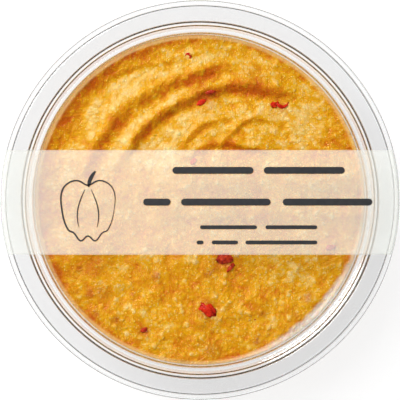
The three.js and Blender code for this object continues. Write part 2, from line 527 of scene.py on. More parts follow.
@dataclass(frozen=True)
class Stain:
    """A soft spot of other colour: spice, pepper juice, and broad patches that are partly painted
    light and shade.
    """

    x: float
    y: float
    size: float
    strength: float = 1.0
    ragged: float = 0.5
    ragged_size: float = 1.3
    seed: int = 81

    def at(self, x: np.ndarray, y: np.ndarray) -> np.ndarray:
        """Strength times exp(-(distance / size)^2), with the distance stretched by small waves.

        Args:
            x: First coordinate of the places.
            y: Second coordinate.

        Returns:
            How strong the spot is there.
        """
        stretch = self.ragged * self.size
        dx = x - self.x + Waves(self.ragged_size, stretch, self.seed).at(x, y)
        dy = y - self.y + Waves(self.ragged_size, stretch, self.seed + 1).at(x, y)
        return self.strength * np.exp(-(dx**2 + dy**2) / self.size**2)


# Materials


@dataclass(frozen=True)
class Patch:
    """How a value wanders from low to high over patches of a size in millimetres."""

    size: float
    low: float = 0.0
    high: float = 1.0
    detail: float = 2.0


@dataclass(frozen=True)
class Granules:
    """Round granules in a share of cells of a size in millimetres, and how much paler they are."""

    size: float
    share: float
    paler: float
    core: float = 0.12
    edge: float = 0.5


class Tree:
    """Short calls for one material's or world's node tree."""

    def __init__(self, tree: bpy.types.NodeTree) -> None:
        """Empties the tree."""
        self.tree = tree
        tree.nodes.clear()

    def add(self, kind: str, **settings: object) -> bpy.types.Node:
        """A new node.

        Args:
            kind: The node's type.
            settings: Its properties by their own names.

        Returns:
            The node.
        """
        node = self.tree.nodes.new(kind)
        for key, value in settings.items():
            setattr(node, key, value)
        return node

    def feed(self, node: bpy.types.Node, **values: Value) -> bpy.types.Node:
        """Sets or links a node's inputs.

        Args:
            node: The node.
            values: Values or sockets by the input's name, with _ for each space; I1 stands for
                input number 1.

        Returns:
            The same node.
        """
        for key, value in values.items():
            numbered = key[0] == "I" and key[1:].isdigit()
            socket = node.inputs[int(key[1:])] if numbered else node.inputs[key.replace("_", " ")]
            if isinstance(value, bpy.types.NodeSocket):
                self.tree.links.new(value, socket)
            else:
                socket.default_value = value
        return node

    def ramp(
        self, factor: bpy.types.NodeSocket, stops: Sequence[tuple[float, Colour]]
    ) -> bpy.types.NodeSocket:
        """A colour ramp.

        Args:
            factor: What it reads.
            stops: Places along it with their linear colours.

        Returns:
            The ramp's colour.
        """
        node = self.feed(self.add("ShaderNodeValToRGB"), Fac=factor)
        elements = node.color_ramp.elements
        while len(elements) < len(stops):
            elements.new(0.5)
        for element, (place, colour) in zip(elements, stops):
            element.position = place
            element.color = (*colour, 1.0)
        return node.outputs["Color"]

    def uneven(self, patch: Patch) -> bpy.types.NodeSocket:
        """A value that wanders over patches, from the shared node group.

        Args:
            patch: Their size and the value's range.

        Returns:
            The value.
        """
        node = self.add("ShaderNodeGroup", node_tree=uneven_group())
        values = {"Size": patch.size, "Detail": patch.detail, "Low": patch.low, "High": patch.high}
        return self.feed(node, **values).outputs["Value"]

    def attribute(self, label: str) -> bpy.types.NodeSocket:
        """The value of the piece's own attribute."""
        return self.add("ShaderNodeAttribute", attribute_name=label).outputs["Fac"]

    def math(self, operation: str, a: Value, b: Value) -> bpy.types.NodeSocket:
        """The result of a two-value operation."""
        return self.feed(self.add("ShaderNodeMath", operation=operation), I0=a, I1=b).outputs[0]

    def total(self, *values: Value) -> bpy.types.NodeSocket:
        """The sum of several values."""
        return functools.reduce(lambda a, b: self.math("ADD", a, b), values)

    def place(self) -> bpy.types.NodeSocket:
        """Object coordinates."""
        return self.add("ShaderNodeTexCoord").outputs["Object"]

    def blend(
        self, factor: bpy.types.NodeSocket, first: bpy.types.NodeSocket, second: Colour
    ) -> bpy.types.NodeSocket:
        """A colour that goes from the first to the second as the factor goes from 0 to 1."""
        node = self.add("ShaderNodeMix", data_type="RGBA")
        return self.feed(node, I0=factor, I6=first, I7=(*second, 1.0)).outputs[2]

    def spread(
        self, factor: Value, start: float, end: float, low: Value, high: Value
    ) -> bpy.types.NodeSocket:
        """A factor mapped from one range to another, and held at its ends.

        Args:
            factor: What it reads.
            start: Where the first range starts.
            end: Where it ends.
            low: What the start becomes.
            high: What the end becomes.

        Returns:
            The mapped value.
        """
        ranges = {"From_Min": start, "From_Max": end, "To_Min": low, "To_Max": high}
        node = self.feed(self.add("ShaderNodeMapRange"), Value=factor, **ranges)
        return node.outputs["Result"]

    def granules(self, kind: Granules) -> bpy.types.NodeSocket:
        """A mask of granules: 1 in the middle of a random share of Voronoi cells, 0 between them.

        Args:
            kind: Their size and share.

        Returns:
            The mask.
        """
        scale = 1.0 / (kind.size * MM)
        cells = self.feed(self.add("ShaderNodeTexVoronoi"), Vector=self.place(), Scale=scale)
        cap = self.spread(cells.outputs["Distance"], kind.core, kind.edge, 1.0, 0.0)
        parts = self.feed(self.add("ShaderNodeSeparateColor"), Color=cells.outputs["Color"])
        return self.math("MULTIPLY", cap, self.math("LESS_THAN", parts.outputs[0], kind.share))

    def bump(
        self, height: bpy.types.NodeSocket, strength: float, depth: float
    ) -> bpy.types.NodeSocket:
        """The normal of a bump map whose full height is a depth in millimetres."""
        node = self.add("ShaderNodeBump")
        return self.feed(node, Strength=strength, Distance=depth * MM, Height=height).outputs[0]

    def surface(self, shader: bpy.types.Node, **more: Value) -> None:
        """Links a shader to the material's output."""
        self.feed(self.add("ShaderNodeOutputMaterial"), Surface=shader.outputs[0], **more)


NOISE_LOW, NOISE_HIGH = 0.25, 0.75


@functools.cache
def uneven_group() -> bpy.types.NodeTree:
    """The unevenness that every finish uses: noise of a size in millimetres, spread over a range.

    Returns:
        The node group, made once.
    """
    group = bpy.data.node_groups.new("uneven", "ShaderNodeTree")
    for label, value in (("Size", 1.0), ("Detail", 2.0), ("Low", 0.0), ("High", 1.0)):
        socket = group.interface.new_socket(
            name=label, in_out="INPUT", socket_type="NodeSocketFloat"
        )
        socket.default_value = value
    group.interface.new_socket(name="Value", in_out="OUTPUT", socket_type="NodeSocketFloat")
    tree = Tree(group)
    given = tree.add("NodeGroupInput").outputs
    scale = tree.math("DIVIDE", 1.0 / MM, given["Size"])
    noise = tree.add("ShaderNodeTexNoise")
    tree.feed(noise, Vector=tree.place(), Scale=scale, Detail=given["Detail"])
    value = tree.spread(
        noise.outputs["Fac"], NOISE_LOW, NOISE_HIGH, given["Low"], given["High"]
    )
    tree.feed(tree.add("NodeGroupOutput"), Value=value)
    return group


def new_material(name: str) -> tuple[bpy.types.Material, Tree]:
    """An empty node material.

    Args:
        name: Its name.

    Returns:
        The material and its tree.
    """
    material = bpy.data.materials.new(name)
    material.use_nodes = True
    return material, Tree(material.node_tree)


@dataclass(frozen=True)
class ClearPlastic:
    """Smooth clear plastic that lamps shine through: faintly tinted, with painted shade along its
    outlines.
    """

    name: str
    tint: Colour
    roughness: float = 0.02
    ior: float = 1.49
    # The edge colour is painted shade: a darker tint where the plastic is seen edge on, standing in
    # for dark reflections.
    edge: Colour = (0.32, 0.43, 0.56)
    edge_shade_from: float = 0.8
    density: float = 60.0
    shade: Colour = (0.46, 0.5, 0.55)
    lamp_share: float = 0.97

    def material(self) -> bpy.types.Material:
        """Glass for what is seen, and a plain opening for rays from lamps and scattered light.

        Returns:
            The material.
        """
        material, tree = new_material(self.name)
        facing = tree.feed(tree.add("ShaderNodeLayerWeight"), Blend=0.5).outputs["Facing"]
        glass = tree.feed(
            tree.add("ShaderNodeBsdfPrincipled"),
            # Painted shade: the tint darkens towards the edge colour as the surface turns edge on to
            # the view.
            Base_Color=tree.ramp(facing, [(self.edge_shade_from, self.tint), (1.0, self.edge)]),
            Roughness=self.roughness,
            IOR=self.ior,
            Transmission_Weight=1.0,
        )
        let_through = (*(self.lamp_share * np.array(self.tint)), 1.0)
        opening = tree.feed(tree.add("ShaderNodeBsdfTransparent"), Color=let_through)
        path = tree.add("ShaderNodeLightPath").outputs
        either = tree.math("MAXIMUM", path["Is Shadow Ray"], path["Is Diffuse Ray"])
        mix = tree.add("ShaderNodeMixShader")
        tree.feed(mix, Fac=either, I1=glass.outputs[0], I2=opening.outputs[0])
        body = tree.add("ShaderNodeVolumeAbsorption")
        tree.feed(body, Color=(*self.shade, 1.0), Density=self.density)
        tree.surface(mix, Volume=body.outputs[0])
        return material


@dataclass(frozen=True)
class Puree:
    """Coarse moist orange chickpea paste: pale grains, painted highlights, painted shade in creases.
    """

    name: str = "hummus"
    deep: Colour = (0.54, 0.105, 0.0)
    body: Colour = (0.72, 0.345, 0.001)
    pale: Colour = (0.85, 0.66, 0.28)
    film: Colour = (0.76, 0.45, 0.18)
    stain: Colour = (0.42, 0.06, 0.006)
    # Painted highlight along the near right edge, where the smear faces the key light.
    glare: Colour = (0.78, 0.79, 0.75)
    stops: tuple[float, float, float] = (0.04, 0.5, 0.98)
    # size, share, paler
    small: Granules = Granules(0.62, 0.42, 0.28)
    large: Granules = Granules(1.2, 0.35, 0.16)
    # size, low, high
    mottling: tuple[Patch, ...] = (
        Patch(3.0, -0.15, 0.13),
        Patch(9.0, -0.12, 0.12),
        Patch(1.3, -0.11, 0.09),
    )
    stain_cover: Patch = Patch(0.7, 0.5, 1.0)
    glare_cover: Patch = Patch(1.4, 0.55, 1.0)
    crumb: Patch = Patch(0.45, 0.0, 0.8, 3.0)
    bump_strength: float = 0.75
    bump_depth: float = 0.18
    gloss: Patch = Patch(1.1, 0.12, 0.45)
    ior: float = 1.33
    specular: float = 0.25
    scatter: float = 0.3
    scatter_radius: tuple[float, float, float] = (1.0, 0.35, 0.08)
    scatter_scale: float = 1.6 * MM

    def material(self) -> bpy.types.Material:
        """Colour follows the tone, margin and stain attributes, a painted highlight attribute,
        mottling and granules.

        Returns:
            The material.
        """
        material, tree = new_material(self.name)
        small, large = tree.granules(self.small), tree.granules(self.large)
        mottle = tree.total(*(tree.uneven(patch) for patch in self.mottling))
        paler_small = tree.math("MULTIPLY", small, self.small.paler)
        paler_large = tree.math("MULTIPLY", large, self.large.paler)
        mixed = tree.total(tree.attribute("tone"), mottle, paler_small, paler_large)
        colour = tree.ramp(mixed, list(zip(self.stops, (self.deep, self.body, self.pale))))
        colour = tree.blend(tree.attribute("margin"), colour, self.film)
        stained = tree.math("MULTIPLY", tree.attribute("stain"), tree.uneven(self.stain_cover))
        colour = tree.blend(stained, colour, self.stain)
        # Painted highlight along the near right edge.
        glared = tree.math("MULTIPLY", tree.attribute("glare"), tree.uneven(self.glare_cover))
        colour = tree.blend(glared, colour, self.glare)
        height = tree.total(tree.uneven(self.crumb), small, large)
        paste = tree.feed(
            tree.add("ShaderNodeBsdfPrincipled"),
            Base_Color=colour,
            Roughness=tree.uneven(self.gloss),
            Normal=tree.bump(height, self.bump_strength, self.bump_depth),
            IOR=self.ior,
            Specular_IOR_Level=self.specular,
            Subsurface_Weight=self.scatter,
            Subsurface_Radius=self.scatter_radius,
            Subsurface_Scale=self.scatter_scale,
        )
        tree.surface(paste)
        return material


@dataclass(frozen=True)
class PepperFlesh:
    """Wet cooked pepper flesh in two reds."""

    name: str
    dark: Colour
    light: Colour
    blotch: Patch = Patch(0.9)
    stops: tuple[float, float] = (0.1, 0.9)
    wrinkle: Patch = Patch(0.5)
    bump_strength: float = 0.6
    bump_depth: float = 0.16
    gloss: Patch = Patch(0.7, 0.2, 0.4)
    specular: float = 0.12

    def material(self) -> bpy.types.Material:
        """Two reds mixed by noise under a wet gloss.

        Returns:
            The material.
        """
        material, tree = new_material(self.name)
        reds = list(zip(self.stops, (self.dark, self.light)))
        flesh = tree.feed(
            tree.add("ShaderNodeBsdfPrincipled"),
            Base_Color=tree.ramp(tree.uneven(self.blotch), reds),
            Roughness=tree.uneven(self.gloss),
            Specular_IOR_Level=self.specular,
            Normal=tree.bump(tree.uneven(self.wrinkle), self.bump_strength, self.bump_depth),
        )
        tree.surface(flesh)
        return material


@dataclass(frozen=True)
class LabelFilm:
    """Translucent whitish film: part of the light goes straight through, the rest is scattered."""

    name: str = "label_film"
    white: Colour = (0.92, 0.935, 0.885)
    gloss: Patch = Patch(11.0, 0.36, 0.5)
    clear: float = 0.745
    lamp_clear: float = 0.93
    through: float = 0.3

    def material(self) -> bpy.types.Material:
        """A clear share over a scattering film that also lets light through.

        Returns:
            The material.
        """
        material, tree = new_material(self.name)
        white = (*self.white, 1.0)
        face = tree.add("ShaderNodeBsdfPrincipled")
        tree.feed(face, Base_Color=white, Roughness=tree.uneven(self.gloss))
        glow = tree.feed(tree.add("ShaderNodeBsdfTranslucent"), Color=white)
        film = tree.add("ShaderNodeMixShader")
        tree.feed(film, Fac=self.through, I1=face.outputs[0], I2=glow.outputs[0])
        opening = tree.add("ShaderNodeBsdfTransparent")
        lamp = tree.add("ShaderNodeLightPath").outputs["Is Shadow Ray"]
        lamp_clear = tree.math("MULTIPLY", lamp, self.lamp_clear)
        clear = tree.math("MAXIMUM", lamp_clear, self.clear)
        mix = tree.add("ShaderNodeMixShader")
        tree.feed(mix, Fac=clear, I1=film.outputs[0], I2=opening.outputs[0])
        tree.surface(mix)
        return material


@dataclass(frozen=True)
class Ink:
    """Matt near-black print, very slightly mottled."""

    name: str = "print"
    dark: Colour = (0.008, 0.009, 0.011)
    light: Colour = (0.02, 0.02, 0.022)
    mottle: Patch = Patch(1.2)
    roughness: float = 0.45

    def material(self) -> bpy.types.Material:
        """Two near blacks mixed by noise.

        Returns:
            The material.
        """
        material, tree = new_material(self.name)
        colour = tree.ramp(tree.uneven(self.mottle), [(0.0, self.dark), (1.0, self.light)])
        face = tree.add("ShaderNodeBsdfPrincipled")
        tree.surface(tree.feed(face, Base_Color=colour, Roughness=self.roughness))
        return material


@dataclass(frozen=True)
class PaleFloor:
    """A plain pale table top, evenly lit from below as well as above."""

    name: str = "pale_floor"
    white: Patch = Patch(400.0, 0.2, 0.22)
    glow: float = 0.8
    roughness: float = 0.9

    def material(self) -> bpy.types.Material:
        """Matt white with an even glow.

        Returns:
            The material.
        """
        material, tree = new_material(self.name)
        face = tree.feed(
            tree.add("ShaderNodeBsdfPrincipled"),
            Base_Color=tree.uneven(self.white),
            Roughness=self.roughness,
            Emission_Color=(1.0, 1.0, 1.0, 1.0),
            Emission_Strength=self.glow,
        )
        tree.surface(face)
        return material


def dress(piece: bpy.types.Object, material: bpy.types.Material) -> None:
    """Gives a piece its one material."""
    piece.data.materials.clear()
    piece.data.materials.append(material)


# The pot


@dataclass(frozen=True)
class Tub:
    """The clear tub, seen as a thinner wall than the solid's, whose outer face it shares.

    Radii and heights are those of the middle of the solid's wall.
    """

    lid_radius: float
    lid_top: float
    wall: float = 0.8
    skin: float = 0.5
    floor_height: float = 1.6
    floor_radius: float = 37.2
    foot_inner: float = 38.6
    foot_outer: float = 42.4
    shoulder_radius: float = 48.8
    shoulder_height: float = 32.2
    ledge_rise: float = 0.8
    ledge_end: float = 1.5
    mouth_radius: float = 51.6
    rim_inset: float = 1.4
    rim_below_top: float = 1.3
    rim_drop: float = 1.3
    bend: float = 0.8
    foot_bend: float = 2.2
    shoulder_bend: float = 2.0
    rim_bend: float = 0.7
    bend_steps: int = 5
    around: int = 700
    tint: Colour = (0.95, 0.95, 0.955)

    def side(self, height: np.ndarray | float) -> np.ndarray | float:
        """Radius of the middle of the straight side, a straight line from foot to shoulder."""
        share = (height - self.wall / 2) / (self.shoulder_height - self.wall / 2)
        return self.foot_outer + (self.shoulder_radius - self.foot_outer) * share

    def line(self) -> np.ndarray:
        """The wall's middle line from the axis out to the rim.

        Returns:
            Rows of [radius, height].
        """
        foot = self.wall / 2
        ledge = self.shoulder_height + self.ledge_rise
        rim = self.lid_top - self.rim_below_top
        rim_radius = self.lid_radius - self.rim_inset
        corners = [
            Corner(0.0, self.floor_height),
            Corner(self.floor_radius, self.floor_height, self.bend),
            Corner(self.foot_inner, foot, self.bend),
            Corner(self.foot_outer, foot, self.foot_bend),
            Corner(self.shoulder_radius, self.shoulder_height, self.shoulder_bend),
            Corner(self.mouth_radius, ledge, self.bend),
            Corner(self.mouth_radius, rim, self.bend),
            Corner(rim_radius, rim, self.rim_bend),
            Corner(rim_radius, rim - self.rim_drop + self.wall / 2),
        ]
        return rounded_line(corners, self.bend_steps)

    def inside(self, height: np.ndarray) -> np.ndarray:
        """Radius of the wall's inner face between the foot and the shoulder's ledge.

        Args:
            height: Heights on that face.

        Returns:
            A radius for each height.
        """
        face = offset_line(self.line(), self.wall / 2 - self.skin)
        past_foot = face[:, 0] > self.foot_outer - self.wall
        before_mouth = face[:, 0] < self.mouth_radius - self.ledge_end
        rising = face[past_foot & before_mouth]
        return np.interp(height, rising[:, 1], rising[:, 0])

    def build(self) -> bpy.types.Object:
        """The tub, which stands for its CAD node.

        Returns:
            The tub's object.
        """
        right, left = self.wall / 2, self.skin - self.wall / 2
        tub = turned_wall("tub_clear", self.line(), right, left, self.around)
        dress(tub, ClearPlastic("tub_plastic", self.tint).material())
        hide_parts("tub")
        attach(tub, "root")
        return tub


@dataclass(frozen=True)
class Lid:
    """The clear lid: a sunk panel, a raised ring and a straight skirt, sharing outer faces."""

    radius: float
    top: float
    wall: float = 0.6
    skin: float = 0.4
    panel_drop: float = 3.3
    panel_radius: float = 49.9
    ring_inner: float = 50.9
    skirt_depth: float = 3.8
    panel_bend: float = 0.7
    skirt_bend: float = 0.9
    bend_steps: int = 6
    around: int = 1440
    tint: Colour = (0.99, 0.995, 0.995)

    def line(self) -> np.ndarray:
        """The wall's middle line from the axis out to the skirt's lower edge.

        Returns:
            Rows of [radius, height].
        """
        ring = self.top - self.wall / 2
        skirt = self.radius - self.wall / 2
        corners = [
            Corner(0.0, ring - self.panel_drop),
            Corner(self.panel_radius, ring - self.panel_drop, self.panel_bend),
            Corner(self.ring_inner, ring, self.panel_bend),
            Corner(skirt, ring, self.skirt_bend),
            Corner(skirt, ring - self.skirt_depth + self.wall / 2),
        ]
        return rounded_line(corners, self.bend_steps)

    def build(self) -> bpy.types.Object:
        """The lid, which stands for its CAD node.

        Returns:
            The lid's object.
        """
        right, left = self.skin - self.wall / 2, self.wall / 2
        lid = turned_wall("lid_clear", self.line(), right, left, self.around)
        dress(lid, ClearPlastic("lid_plastic", self.tint).material())
        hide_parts("lid")
        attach(lid, "root")
        return lid


@dataclass(frozen=True)
class Tones:
    """How each feature makes the dip paler or deeper, some by painted light and shade; 0.5 is the
    middle.
    """

    middle: float = 0.495
    # Painted highlight: raised places are paler.
    relief: float = 0.62
    mean_relief: float = 0.16
    coarse: float = 0.09
    fine: float = 0.07
    spooned: float = 0.125
    # Painted highlight on the lit crests of the spoon strokes.
    lip_highlights: float = 0.1
    # Painted shade over the falls of the strokes, partly deeper moist paste.
    crease_shades: float = -0.27
    # Painted shadow of the tub's wall along the far left edge of the dip.
    wall_shadow: float = -0.36
    # Painted shade in the crease at the foot of the shelf, all round.
    edge_crease_shade: float = -0.14
    below: float = 0.45


@dataclass(frozen=True)
class Dip:
    """The hummus: a level fill with spoon strokes, lumps and grains, just into the tub's wall."""

    tub: Tub
    stains: tuple[Stain, ...]
    # Broad patches, partly painted light and shade and partly the paste's own tone.
    light_and_tone_patches: tuple[Stain, ...]
    level: float = 29.1
    skin: float = 0.4
    wall_climb: float = 1.8
    climb_width: float = 3.0
    smear: float = 0.5
    smear_width: float = 0.4
    smear_blend: float = 0.5
    smear_edge: float = 0.3
    smear_ridge: float = 0.08
    smear_pitch: float = 0.55
    smear_lines: float = 0.22
    smear_below: float = 0.45
    # Painted highlight along the near right edge, where the smear faces the key light.
    glare: float = 0.8
    glare_power: int = 8
    glare_width: float = 1.9
    glare_blend: float = 1.1
    glare_waves: Waves = Waves(2.0, 0.3, 91)
    centre: Place = (13.2, 0.0)
    into_wall: float = 0.1
    side_foot: float = 4.0
    side_steps: int = 6
    foot_inset: float = 0.6
    foot_height: float = 2.4
    floor_inset: float = 2.4
    floor_margin: float = 2.0
    grid: int = 284
    # radius, drift_from, drift, start, end, lip, fall, reach
    strokes: tuple[Stroke, ...] = (
        Stroke(34.2, 30.0, 0.115, -20.0, 72.0, 1.9, 3.4, 5.0),
        Stroke(40.5, 24.0, 0.14, 8.0, 80.0, 1.8, 4.4, 7.0),
        Stroke(45.6, 26.0, 0.36, 20.0, 48.0, 0.5, 1.6, 3.0),
        Stroke(25.0, 0.0, 0.0, 14.0, 52.0, 0.8, 2.0, 3.5),
        Stroke(25.0, -8.0, -0.22, -18.0, 16.0, 0.8, 2.0, 3.0),
        Stroke(16.2, 0.0, 0.1, -24.0, 48.0, 1.0, 2.2, 4.5),
    )
    # size, height, seed
    wobble: tuple[Waves, ...] = (Waves(9.0, 0.5, 21), Waves(3.5, 0.34, 22), Waves(1.8, 0.14, 23))
    lumps: tuple[Waves, ...] = (Waves(6.0, 0.55, 3), Waves(3.4, 0.36, 8))
    ripples: tuple[Waves, ...] = (Waves(2.2, 0.18, 5), Waves(1.0, 0.07, 6), Waves(0.6, 0.03, 7))
    # cell, radius, height, share, seed
    coarse: Grains = Grains(2.1, 0.85, 0.3, 0.6, 31)
    fine: Grains = Grains(1.05, 0.45, 0.16, 0.75, 41)
    streaks: Waves = Waves(0.9, 0.1, 51)
    streak_stretch: float = 0.3
    spooned_from: float = -6.0
    spooned_to: float = 16.0
    pressed_in: float = 0.55
    far_lumps: float = 0.35
    far_edge: float = 12.0
    lip_shift: float = 0.3
    # Two bell curves: painted shadow of the tub's wall on the far left, and painted shade in the
    # crease at the shelf's foot.
    # how far inside the shelf, and the width of the bell curve
    wall_shadow: tuple[float, float] = (1.6, 2.8)
    edge_crease_shade: tuple[float, float] = (0.7, 0.8)
    tones: Tones = Tones()

    @property
    def shelf_radius(self) -> float:
        """Where the smooth smeared shelf along the wall begins."""
        return float(self.tub.side(self.level)) - self.tub.wall / 2 - self.smear_width

    def shelf(self, x: np.ndarray, y: np.ndarray) -> np.ndarray:
        """1 on the smeared shelf, 0 inside it, eased over the blend width."""
        start, end = self.shelf_radius - self.smear_blend, self.shelf_radius + self.smear_edge
        return smooth_step(np.hypot(x, y), start, end)

    def far_left(self, x: np.ndarray, y: np.ndarray) -> np.ndarray:
        """Cosine of the angle from the far left direction, so -1 on the near right side."""
        return (y - x) / np.maximum(np.hypot(x, y), 1.0) / math.sqrt(2.0)

    def polar(self, x: np.ndarray, y: np.ndarray) -> tuple[np.ndarray, np.ndarray]:
        """Places about the swirl's centre.

        Args:
            x: First coordinate of the places.
            y: Second coordinate.

        Returns:
            The distance, with its wobble, and the angle from +Y towards -X in degrees.
        """
        dx, dy = x - self.centre[0], y - self.centre[1]
        distance = np.hypot(dx, dy) + sum(w.at(x, y) for w in self.wobble)
        return distance, np.degrees(np.arctan2(-dx, dy))

    def broad(self, x: np.ndarray, y: np.ndarray) -> np.ndarray:
        """The form that the solid has too: level, strokes, the climb up the wall and the lumps.

        The climb is the square of the cosine from the far left times exp(way in / climb width).

        Args:
            x: First coordinate of the places.
            y: Second coordinate.

        Returns:
            Heights in millimetres.
        """
        distance, angle = self.polar(x, y)
        swirl = sum(stroke.at(distance, angle) for stroke in self.strokes)
        inward = np.minimum(np.hypot(x, y) - self.shelf_radius, 0.0)
        far_left = np.clip(self.far_left(x, y), 0.0, 1.0) ** 2
        climb = self.wall_climb * far_left * np.exp(inward / self.climb_width)
        shelf = self.shelf(x, y)
        share = 1.0 - (1.0 - self.far_lumps) * smooth_step(y, -self.far_edge, self.far_edge)
        bumps = sum(lump.at(x, y) for lump in self.lumps)
        base = self.level - self.skin + climb + self.smear * shelf
        return base + (1.0 - shelf) * (swirl + share * bumps)

    def detail(self, x: np.ndarray, y: np.ndarray) -> tuple[np.ndarray, np.ndarray]:
        """Grains, ripples and the spoon's fine streaks, and the tone of every place.

        The coarse grains are pressed in where the far half was spooned. The tone is a weighted
        sum of the relief and the lips, which paint highlights, the grains' tints, the creases and
        two bell curves along the wall, which paint shade and the wall's shadow, and the patches,
        which are partly painted light and shade.

        Args:
            x: First coordinate of the places.
            y: Second coordinate.

        Returns:
            Heights in millimetres, and tones where 0.5 is the middle.
        """
        distance, angle = self.polar(x, y)
        spooned = smooth_step(y, self.spooned_from, self.spooned_to)
        coarse, coarse_tint = self.coarse.at(x, y)
        fine, fine_tint = self.fine.at(x, y)
        way_round = np.radians(angle) * distance * self.streak_stretch
        height = (1.0 - self.pressed_in * spooned) * coarse + fine
        height = height + sum(w.at(x, y) for w in self.ripples)
        height = height + spooned * self.streaks.at(distance, way_round)
        inward = self.shelf_radius - np.hypot(x, y)
        far_left = np.clip(self.far_left(x, y), 0.0, 1.0) ** 2
        weights = self.tones
        parts = (
            # Painted highlight: raised places are paler.
            (weights.relief, height - weights.mean_relief),
            (weights.coarse, coarse_tint),
            (weights.fine, fine_tint),
            (weights.spooned, spooned),
            # Painted highlight on the crests of the strokes.
            (weights.lip_highlights, sum(s.at(distance - self.lip_shift, angle) for s in self.strokes)),
            # Painted shade over the falls of the strokes, partly deeper moist paste.
            (weights.crease_shades, sum(s.crease_shade(distance, angle) for s in self.strokes)),
            # Painted shadow of the tub's wall on the far left.
            (weights.wall_shadow, far_left * bell(inward, *self.wall_shadow)),
            # Painted shade in the crease at the foot of the shelf.
            (weights.edge_crease_shade, bell(inward, *self.edge_crease_shade)),
        )
        tone = weights.middle + sum(weight * part for weight, part in parts)
        return height, tone + sum(shade.at(x, y) for shade in self.light_and_tone_patches)

    def stained(self, x: np.ndarray, y: np.ndarray) -> np.ndarray:
        """The strongest stain at each place."""
        return np.maximum.reduce([stain.at(x, y) for stain in self.stains])

    def glared(self, x: np.ndarray, y: np.ndarray) -> np.ndarray:
        """A painted highlight: the pale crescent along the near right edge, a high power of the
        cosine there.

        Args:
            x: First coordinate of the places.
            y: Second coordinate.

        Returns:
            How much of it each place has.
        """
        near_right = np.clip(-self.far_left(x, y), 0.0, 1.0) ** self.glare_power
        start = self.shelf_radius - self.glare_width * near_right
        distance = np.hypot(x, y) + self.glare_waves.at(x, y)
        return self.glare * near_right * smooth_step(distance, start, start + self.glare_blend)

    def disc(self) -> tuple[np.ndarray, np.ndarray, np.ndarray]:
        """An even grid over the unit disc.

        The square from -1 to 1 goes to the disc ring by ring: the larger of |a| and |b| is the
        radius, and the smaller one over it, times 45 degrees, is the angle from the nearest axis.

        Returns:
            Grids of x and y, and the numbers of the rim's points in order.
        """
        n = self.grid
        line = np.linspace(-1.0, 1.0, n + 1)
        b, a = np.meshgrid(line, line, indexing="ij")
        wide = np.abs(a) >= np.abs(b)
        safe_a = np.where(a == 0.0, 1.0, a)
        safe_b = np.where(b == 0.0, 1.0, b)
        angle = np.where(wide, np.pi / 4 * b / safe_a, np.pi / 2 - np.pi / 4 * a / safe_b)
        radius = np.where(wide, a, b)
        number = np.arange((n + 1) ** 2).reshape(n + 1, n + 1)
        sides = [number[0, :-1], number[:-1, -1], number[-1, :0:-1], number[:0:-1, 0]]
        return radius * np.cos(angle), radius * np.sin(angle), np.concatenate(sides)

    def rim_radius(self, x: np.ndarray, y: np.ndarray) -> np.ndarray:
        """How far out the surface goes along the directions x, y of the unit disc.

        The height of the rim at the wall's mean radius gives the radius of the wall's inner face
        at that height, and the dip reaches just into the wall.

        Args:
            x: First coordinate on the unit disc.
            y: Second coordinate.

        Returns:
            A radius for each direction.
        """
        length = np.maximum(np.hypot(x, y), 1e-9)
        start = self.tub.inside(self.level)
        rim_height = self.broad(start * x / length, start * y / length)
        return self.tub.inside(rim_height) + self.into_wall

    def side_rings(self, rim: np.ndarray) -> list[np.ndarray]:
        """Rings of points from the rim down the tub's inside and in over its floor.

        Args:
            rim: The rim's points.

        Returns:
            One array of points for each ring.
        """
        around = rim[:, :2] / np.linalg.norm(rim[:, :2], axis=1, keepdims=True)
        rings = []
        for share in np.linspace(0.0, 1.0, self.side_steps + 1)[1:]:
            height = rim[:, 2] + (self.side_foot - rim[:, 2]) * share
            radius = self.tub.inside(height) + self.into_wall
            rings.append(np.column_stack([around * radius[:, None], height]))
        floor = self.tub.floor_height + self.tub.skin - self.tub.wall / 2 - self.into_wall
        foot = float(self.tub.inside(self.side_foot))
        corners = (
            (foot - self.foot_inset, self.foot_height),
            (foot - self.floor_inset, floor),
            (self.tub.floor_radius - self.floor_margin, floor),
        )
        for radius, height in corners:
            rings.append(np.column_stack([around * radius, np.full(len(rim), height)]))
        return rings

    def give_attributes(
        self, dip: bpy.types.Object, fields: dict[str, tuple[np.ndarray, float]]
    ) -> None:
        """Writes the values that the material reads.

        Args:
            dip: The dip's object, whose first points are the top's.
            fields: For each attribute, its values on the top and its one value below the rim.
        """
        count = len(dip.data.vertices)
        for label, (values, below) in fields.items():
            values = np.concatenate([values, np.full(count - len(values), below)])
            attribute = dip.data.attributes.new(label, "FLOAT", "POINT")
            attribute.data.foreach_set("value", values.astype(np.float32))

